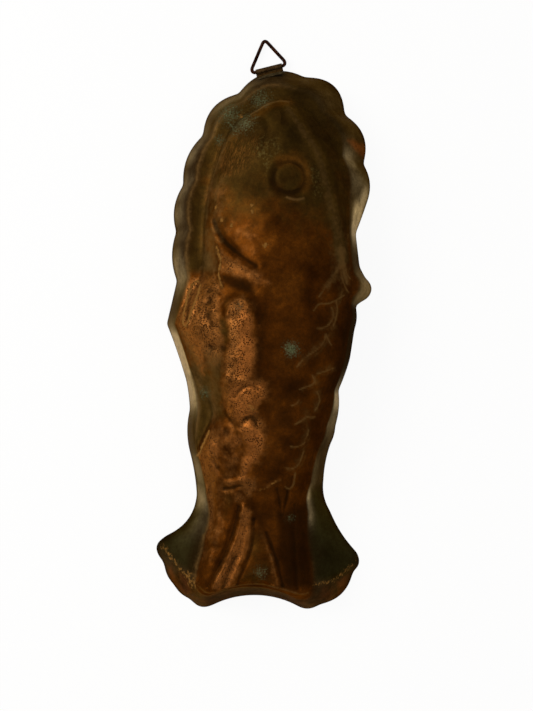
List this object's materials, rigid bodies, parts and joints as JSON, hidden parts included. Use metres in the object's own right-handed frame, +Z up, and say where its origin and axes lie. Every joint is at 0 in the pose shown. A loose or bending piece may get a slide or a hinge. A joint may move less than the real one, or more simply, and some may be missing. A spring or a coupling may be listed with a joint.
{
  "type": "fish mould",
  "caption": "Copper fish mould: an open pressed shell with a fish in relief, scalloped walls round it and a swinging wire hanging loop at the head end.",
  "frame": {"origin": "on the plane of the rim, under the middle of the whole object's bounding box", "axes": "+Z up out of the raised fish, the mould lying on its rim; +Y towards the fish's head and the hanging loop; +X towards the fish's back"},
  "size_m": [0.1468, 0.4022, 0.0626],
  "materials": {
    "copper_shell": "old copper, brown and tarnished, tinned inside",
    "strap_copper": "dull tarnished copper",
    "solder": "dull grey solder",
    "iron_wire": "dark oxidised iron"
  },
  "bodies": {
    "mould": {"mould_shell": "copper_shell", "hanger_strap": "strap_copper", "strap_solder": "solder"},
    "loop": {"hanger_loop": "iron_wire"}
  },
  "joints": [
    {"name": "loop_swing", "type": "hinge", "parent": "mould", "child": "loop", "pos_m": [-0.00332, 0.17993, 0.0029], "axis": [0.967, 0.2548, 0], "range_deg": [-95, 108]}
  ]
}
